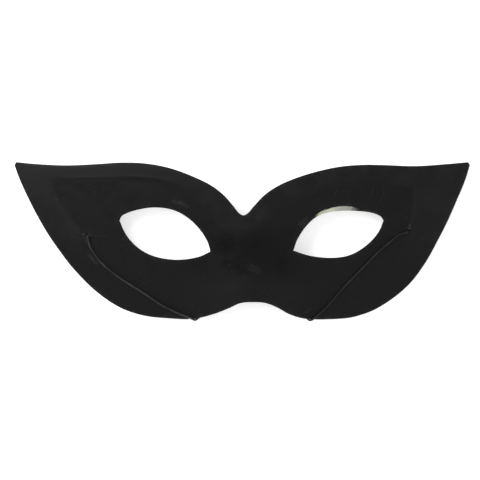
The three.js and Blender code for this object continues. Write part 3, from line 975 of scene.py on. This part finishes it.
def soft_line_mark_group():
    """One soft line mark between two points, broken up along its way; a mask for lighter streaks and
    painted highlights.
    """
    nowhere = (0.0, 0.0, 0.0)
    nodes, given, result = new_group("Soft Line Mark", ("Mask",), From=nowhere, To=nowhere, Half_width=0.0005)
    flat = nodes.vector_math("MULTIPLY", given["Vector"], (1.0, 1.0, 0.0))
    away = nodes.vector_math("SUBTRACT", flat, given["From"])
    run = nodes.vector_math("SUBTRACT", given["To"], given["From"])
    square = nodes.vector_math("DOT_PRODUCT", run, run)
    share = nodes.math("DIVIDE", nodes.vector_math("DOT_PRODUCT", away, run), square, clamp=True)
    nearest = nodes.add("ShaderNodeVectorMath", {"operation": "SCALE"}, Vector=run, Scale=share)
    gap = nodes.vector_math("DISTANCE", away, nearest.outputs["Vector"])
    line = nodes.spread(nodes.math("DIVIDE", gap, given["Half width"]), 0.25, 1.0, 1.0, 0.0)
    broken = nodes.spread(nodes.noise(given["Vector"], 900.0, 3.0, 0.6), 0.36, 0.62, 0.25, 1.0)
    nodes.feed_node(result, Mask=nodes.math("MULTIPLY", line, broken))
    return nodes.tree


GROUP_MAKERS = {
    "Fine Grain": fine_grain_group,
    "Dust": dust_group,
    "Handling": handling_group,
    "Soft Line Mark": soft_line_mark_group,
}


def shared_group(name):
    """A shared effect, made when the first material asks for it."""
    return bpy.data.node_groups.get(name) or GROUP_MAKERS[name]()


def place_group(nodes, name, vector, **inputs):
    """Adds a shared effect to a tree and gives its outputs."""
    settings = {"node_tree": shared_group(name)}
    return nodes.add("ShaderNodeGroup", settings, Vector=vector, **inputs).outputs


def new_material(name):
    """A plain material, its nodes, its place in the frame and its shader."""
    material = bpy.data.materials.new(name)
    material.use_nodes = True
    material.node_tree.nodes.clear()
    nodes = NodeTree(material.node_tree)
    place = nodes.add("ShaderNodeTexCoord")
    shader = nodes.add("ShaderNodeBsdfPrincipled")
    nodes.add("ShaderNodeOutputMaterial", Surface=shader.outputs["BSDF"])
    return material, nodes, place.outputs, shader


def shade(colour, share=1.0):
    """A colour for a shader: a plain colour, made lighter or darker by a share."""
    return tuple(share * part for part in colour) + (1.0,)


def x_of(nodes, vector):
    return nodes.add("ShaderNodeSeparateXYZ", Vector=vector).outputs["X"]


# A lighter grey for scratches and worn lips, and for the line marks, most of which are painted highlights
WEAR_AND_HIGHLIGHT_GREY = shade((0.032, 0.032, 0.032))
DUST_ON_PLASTIC = shade((0.06, 0.06, 0.058))
DUST_ON_ELASTIC = shade((0.05, 0.05, 0.05))
GREYED_BARE_PLASTIC = shade((0.295, 0.295, 0.27))
SHADED_THREAD = shade((0.0012, 0.0012, 0.0012))
WHITE = shade((1.0, 1.0, 1.0))

# Lighter line marks on the face: from, to, half width and strength. The first six lie beside the elastic's
# holes
LIGHTER_LINE_MARKS = (
    ((-0.0664, 0.0027), (-0.0638, 0.0025), 0.00080, 0.42),
    ((-0.0640, 0.0022), (-0.0565, 0.0018), 0.00060, 0.16),
    ((-0.0648, -0.0004), (-0.0641, 0.0020), 0.00120, 0.20),
    ((0.0698, 0.0040), (0.0697, 0.0066), 0.00070, 0.45),
    ((0.0632, 0.0024), (0.0690, 0.0034), 0.00060, 0.18),
    ((0.0596, -0.0019), (0.0612, -0.0006), 0.00060, 0.40),
    # Painted highlights: soft glints below the left hole, over the left eye, on the nose and beside the
    # right eye
    ((-0.0636, -0.0064), (-0.0608, -0.0092), 0.00120, 0.36),
    ((-0.0284, 0.0164), (-0.0252, 0.0156), 0.00120, 0.30),
    ((-0.0252, 0.0156), (-0.0228, 0.0142), 0.00100, 0.30),
    ((0.0038, -0.0112), (0.0062, -0.0122), 0.00240, 0.20),
    ((0.0246, 0.0070), (0.0268, 0.0084), 0.00200, 0.24),
)


def black_with_wear_and_painted_light(nodes, where, handling, colour):
    """The black cover: deeper on the panel, darker on the nose as painted shade, greyer where it is
    smudged, worn or scratched, and lighter in line marks that are mostly painted highlights.
    """
    black, greyer, deeper, shaded_nose_black = (shade(colour, share) for share in (1.0, 2.1, 0.72, 0.45))
    ground = nodes.mix(handling["Smudges"], black, greyer, strength=0.75)
    ground = nodes.mix(nodes.attribute("sunk_panel"), ground, deeper, strength=0.75)
    # Painted shade: the colour is darkened over the nose bridge
    ground = nodes.mix(nodes.attribute("nose_shade_and_matt"), ground, shaded_nose_black, strength=0.8)
    ground = nodes.mix(handling["Scratches"], ground, WEAR_AND_HIGHLIGHT_GREY, strength=0.35)
    patchy = nodes.spread(nodes.noise(where, 420.0, 4.0, 0.6), 0.42, 0.68)
    worn = nodes.math("MULTIPLY", nodes.attribute("edge_wear"), patchy)
    ground = nodes.mix(worn, ground, WEAR_AND_HIGHLIGHT_GREY, strength=0.4)
    on_face = nodes.math("SUBTRACT", 1.0, nodes.attribute("hollow_side"))
    # Lighter line marks on the face alone; most of them are painted highlights
    for start, end, half_width, strength in LIGHTER_LINE_MARKS:
        mark = place_group(
            nodes, "Soft Line Mark", where, From=(*start, 0.0), To=(*end, 0.0), Half_width=half_width)
        shown = nodes.math("MULTIPLY", mark["Mask"], on_face)
        ground = nodes.mix(shown, ground, WEAR_AND_HIGHLIGHT_GREY, strength=strength)
    dust = place_group(nodes, "Dust", where, Specks_per_metre=620.0, Amount=0.06)
    return nodes.mix(dust["Mask"], ground, DUST_ON_PLASTIC, strength=0.35)


def with_bare_plastic(nodes, where, ground, colour):
    """Bare plastic with a ragged edge in one place, cream at one end and greyed towards the other."""
    raggedness = nodes.spread(nodes.noise(where, 900.0, 3.0, 0.6), 0.3, 0.7, -0.15, 0.15)
    bared = nodes.spread(nodes.math("ADD", nodes.attribute("bare_wall"), raggedness), 0.16, 1.0)
    past_cream = nodes.spread(x_of(nodes, where), *CREAM_UNTIL)
    streaks = nodes.noise(nodes.vector_math("MULTIPLY", where, (0.25, 1.0, 1.0)), 1500.0, 3.0, 0.6)
    greyed = nodes.math("ADD", past_cream, nodes.spread(streaks, 0.4, 0.7, 0.0, 0.45), clamp=True)
    return nodes.mix(bared, ground, nodes.mix(greyed, shade(colour), GREYED_BARE_PLASTIC))


def black_plastic(shell):
    """Black moulded plastic: matter in the panel, worn at its lips, bare in one place, with painted shade
    on the nose and painted highlights in a few places.
    """
    material, nodes, place, shader = new_material("Black moulded plastic")
    where = place["Object"]
    grain = place_group(nodes, "Fine Grain", where, Grains_per_metre=2600.0, Unevenness=1.1)
    handling = place_group(nodes, "Handling", where, Scratch_direction=(0.18, 1.0, 1.0), Smudge_scale=105.0)
    ground = black_with_wear_and_painted_light(nodes, where, handling, shell.colour)
    colour = with_bare_plastic(nodes, where, ground, shell.bare_colour)
    roughness = nodes.math("MULTIPLY_ADD", handling["Smudges"], 0.17, shell.roughness)
    for name, added in (("nose_shade_and_matt", 0.22), ("sunk_panel", 0.125), ("hollow_side", 0.12)):
        roughness = nodes.math("MULTIPLY_ADD", nodes.attribute(name), added, roughness)
    roughness = nodes.math("MULTIPLY_ADD", grain["Mask"], 0.05, roughness, clamp=True)
    height = nodes.math("MULTIPLY_ADD", handling["Scratches"], -0.8, grain["Height"])
    skin = nodes.bump(0.55, 0.04 * MM, height)
    nodes.feed_node(shader, Base_Color=colour, Roughness=roughness, Normal=skin, Specular_IOR_Level=0.135)
    return material


# Painted shade on the elastic's right stretch, which makes it darker than the left one
SHADED_ELASTIC_X = (-0.010, 0.020)
ELASTIC_SHADE_SHARE = 0.55


def braid_pattern(nodes, length_and_turn, pitch):
    """Threads that wind round the elastic both ways, from its length in millimetres and its turn."""
    parts = nodes.add("ShaderNodeSeparateXYZ", Vector=length_and_turn).outputs
    repeats = nodes.math("MULTIPLY", parts["X"], math.pi * MM / pitch)
    around = nodes.math("MULTIPLY", parts["Y"], BRAID_STRANDS * math.pi)
    ways = [nodes.math(operation, repeats, around) for operation in ("ADD", "SUBTRACT")]
    return nodes.math("MAXIMUM", *(nodes.math("ABSOLUTE", nodes.math("SINE", way)) for way in ways))


def braided_elastic(elastic):
    """Thin round elastic covered with black thread in a fine braid, with painted shade between the threads
    and on its right stretch.
    """
    material, nodes, place, shader = new_material("Black braided elastic")
    where = place["Object"]
    thread = braid_pattern(nodes, place["UV"], elastic.braid_pitch)
    dust = place_group(nodes, "Dust", where, Specks_per_metre=1500.0, Amount=0.6)
    handling = place_group(nodes, "Handling", where, Smudge_scale=240.0)
    light, dark, rubbed = (shade(elastic.colour, share) for share in (1.0, 0.35, 2.3))
    # Painted shade between the threads: darker where the braid is low
    colour = nodes.mix(nodes.spread(thread, 0.55, 0.95), dark, light)
    colour = nodes.mix(handling["Smudges"], colour, rubbed, strength=0.6)
    colour = nodes.mix(dust["Mask"], colour, DUST_ON_ELASTIC)
    # Painted shade: the elastic's colour is darkened towards its right stretch
    shaded_stretch = nodes.spread(x_of(nodes, where), *SHADED_ELASTIC_X)
    colour = nodes.mix(shaded_stretch, colour, SHADED_THREAD, strength=ELASTIC_SHADE_SHARE)
    roughness = nodes.spread(thread, 0.5, 1.0, 0.72, 0.5)
    skin = nodes.bump(0.7, 0.06 * MM, thread)
    nodes.feed_node(shader, Base_Color=colour, Roughness=roughness, Normal=skin, Specular_IOR_Level=0.13)
    return material


def pale_floor(stage):
    """A pale matt floor with a barely visible grain."""
    material, nodes, place, shader = new_material("Pale floor")
    grain = place_group(nodes, "Fine Grain", place["Object"], Grains_per_metre=420.0, Unevenness=0.6)
    pale, darker = shade(stage.floor_colour), shade(stage.floor_colour, 0.985)
    nodes.feed_node(
        shader, Base_Color=nodes.mix(grain["Mask"], pale, darker), Roughness=0.85, Specular_IOR_Level=0.2,
        Emission_Color=WHITE, Emission_Strength=stage.floor_glow)
    return material


def named_material(name, make, settings):
    return bpy.data.materials.get(name) or make(settings)


def elastic_material():
    return named_material("Black braided elastic", braided_elastic, bpy.context.scene.cat_mask_elastic)


class CATMASK_OT_stage(bpy.types.Operator):
    """Adds the pale floor, the lights and the camera that looks down on the mask"""

    bl_idname = "cat_mask.stage"
    bl_label = "Stage"

    def execute(self, context):
        scene, stage = context.scene, context.scene.cat_mask_stage
        half = stage.floor_size / 2
        corners = [(-half, -half, 0), (half, -half, 0), (half, half, 0), (-half, half, 0)]
        floor = new_mesh_object("floor", corners, [(0, 1, 2, 3)], pale_floor(stage))

        camera = bpy.data.objects.new("camera", bpy.data.cameras.new("camera"))
        camera.location = (*PICTURE_MIDDLE, stage.camera_height)
        camera.data.sensor_width = 36.0
        camera.data.lens = camera.data.sensor_width * stage.camera_height / stage.picture_width
        camera.data.clip_start, camera.data.clip_end = 0.1, 20.0
        scene.collection.objects.link(camera)
        scene.camera = camera

        self.add_light(scene, "key light", KEY_LIGHT_PLACE, KEY_LIGHT_SIDE, stage.key_power)
        self.add_light(scene, "fill light", FILL_LIGHT_PLACE, FILL_LIGHT_SIDE, stage.fill_power)
        self.light_the_sky(scene, stage)
        scene.view_settings.view_transform = "Standard"
        return {"FINISHED"}

    def add_light(self, scene, name, place, size, power):
        """A square soft light that points at the mask."""
        light = bpy.data.objects.new(name, bpy.data.lights.new(name, "AREA"))
        light.data.size = size
        light.data.energy = power
        light.location = place
        light.rotation_mode = "QUATERNION"
        light.rotation_quaternion = (-Vector(place)).to_track_quat("-Z", "Y")
        scene.collection.objects.link(light)

    def light_the_sky(self, scene, stage):
        """An even pale surround that lights the mask only weakly."""
        world = bpy.data.worlds.new("pale surround")
        world.use_nodes = True
        world.node_tree.nodes.clear()
        nodes = NodeTree(world.node_tree)
        seen = nodes.add("ShaderNodeLightPath").outputs["Is Camera Ray"]
        strength = nodes.spread(seen, 0.0, 1.0, stage.sky_strength, 1.0, smooth=False)
        sky = nodes.add("ShaderNodeBackground", Color=WHITE, Strength=strength)
        nodes.add("ShaderNodeOutputWorld", Surface=sky.outputs[0])
        scene.world = world


class CATMASK_OT_knots(bpy.types.Operator):
    """Ties the knot under each of the two holes"""

    bl_idname = "cat_mask.knots"
    bl_label = "Knots"

    def execute(self, context):
        elastic = context.scene.cat_mask_elastic
        for node in ("elastic_knot_left", "elastic_knot_right"):
            low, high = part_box(node)
            middle = np.array((low + high) / 2)
            strand = KNOT_STRAND_SHARE * elastic.diameter
            turn = np.linspace(0, 2 * math.pi, KNOT_POINTS)[:-KNOT_OPENING_POINTS]
            reach = ((high.x - low.x) / 2 - strand) / 3
            rise = (high.z - low.z) / 2 - strand
            path = middle + np.column_stack([
                reach * (np.sin(turn) + 2 * np.sin(2 * turn)),
                reach * (np.cos(turn) - 2 * np.cos(2 * turn)),
                -rise * np.sin(3 * turn),
            ])
            knot = tube_mesh(node + "_tied", path, strand, KNOT_SIDES, elastic_material())
            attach(knot, BODY)
            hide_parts(node)
        return {"FINISHED"}


class CATMASK_OT_tie(bpy.types.Operator):
    """Winds the thread that holds the coil's turns together"""

    bl_idname = "cat_mask.tie"
    bl_label = "Tie of the coil"

    def execute(self, context):
        elastic = context.scene.cat_mask_elastic
        half_width = elastic.diameter / 2 + TIE_THREAD_RADIUS + COIL_PLAY
        half_straight = (COIL_HIGH.z - COIL_LOW.z) / 2 + TIE_THREAD_RADIUS - half_width
        straight = 2 * half_straight
        half_loop = straight + math.pi * half_width
        path = []
        for place in np.linspace(0, TIE_TURNS, TIE_POINTS_PER_TURN * TIE_TURNS):
            run = place % 1 * 2 * half_loop
            side = 1 if run < half_loop else -1
            run %= half_loop
            turn = max(0, run - straight) / half_width
            x = (place - TIE_TURNS / 2) * TIE_TURN_SPACING
            y = side * half_width * math.cos(turn)
            z = side * (min(run, straight) - half_straight + half_width * math.sin(turn))
            path.append((TIE_MIDDLE.x + x, TIE_MIDDLE.y + y, (COIL_LOW.z + COIL_HIGH.z) / 2 + z))
        tie = tube_mesh(
            "elastic_tie_wound", np.array(path), TIE_THREAD_RADIUS, TIE_SIDES, elastic_material())
        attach(tie, BODY)
        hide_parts("elastic_tie")
        return {"FINISHED"}


class CATMASK_OT_elastic(bpy.types.Operator):
    """Lays the elastic over the face, round the lower edge and into its coil under the nose"""

    bl_idname = "cat_mask.elastic"
    bl_label = "Elastic"

    def execute(self, context):
        elastic = context.scene.cat_mask_elastic
        path = elastic_path(context.scene.cat_mask_shell, elastic)

        def braid(run, turn):
            along = np.cos(2 * math.pi * run / elastic.braid_pitch)
            return BRAID_RELIEF * np.cos(BRAID_STRANDS * turn) * along

        cord = tube_mesh(
            "elastic_cord", path, elastic.diameter / 2, elastic.sides, elastic_material(), braid)
        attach(cord, BODY)
        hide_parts("elastic_left", "elastic_coil", "elastic_right")
        tuple(path[0])
        return {"FINISHED"}


class CATMASK_OT_shell(bpy.types.Operator):
    """Builds the mask's shell with its border, strokes, eye holes and rounded lips"""

    bl_idname = "cat_mask.shell"
    bl_label = "Mask shell"

    def execute(self, context):
        shell = context.scene.cat_mask_shell
        material = named_material("Black moulded plastic", black_plastic, shell)
        piece = shell_mesh(shell, material)
        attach(piece, BODY)
        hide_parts("mask_shell")
        return {"FINISHED"}


class CATMASK_PT_panel(bpy.types.Panel):
    """Lists the mask's sizes and the steps that build it"""

    bl_idname = "CATMASK_PT_panel"
    bl_label = "Cat Mask"
    bl_space_type = "VIEW_3D"
    bl_region_type = "UI"
    bl_category = "Cat Mask"

    def draw(self, context):
        for title, group, _ in SETTINGS:
            box = self.layout.box()
            box.label(text=title)
            settings = getattr(context.scene, group)
            for name in settings.bl_rna.properties.keys():
                if name not in ("rna_type", "name"):
                    box.prop(settings, name)
        for operator in OPERATORS:
            self.layout.operator(operator.bl_idname)


SETTINGS = (
    ("Shell", "cat_mask_shell", ShellSettings),
    ("Elastic", "cat_mask_elastic", ElasticSettings),
    ("Stage", "cat_mask_stage", StageSettings),
)
OPERATORS = (CATMASK_OT_stage, CATMASK_OT_knots, CATMASK_OT_tie, CATMASK_OT_elastic, CATMASK_OT_shell)
CLASSES = (ShellSettings, ElasticSettings, StageSettings) + OPERATORS + (CATMASK_PT_panel,)


def register():
    for kind in CLASSES:
        bpy.utils.register_class(kind)
    for _, name, kind in SETTINGS:
        setattr(bpy.types.Scene, name, PointerProperty(type=kind))


def unregister():
    for _, name, _ in SETTINGS:
        delattr(bpy.types.Scene, name)
    for kind in reversed(CLASSES):
        bpy.utils.unregister_class(kind)


def main():
    register()
    bpy.ops.cat_mask.stage()
    bpy.ops.cat_mask.knots()
    bpy.ops.cat_mask.tie()
    bpy.ops.cat_mask.elastic()
    bpy.ops.cat_mask.shell()


if __name__ == "__main__":
    main()
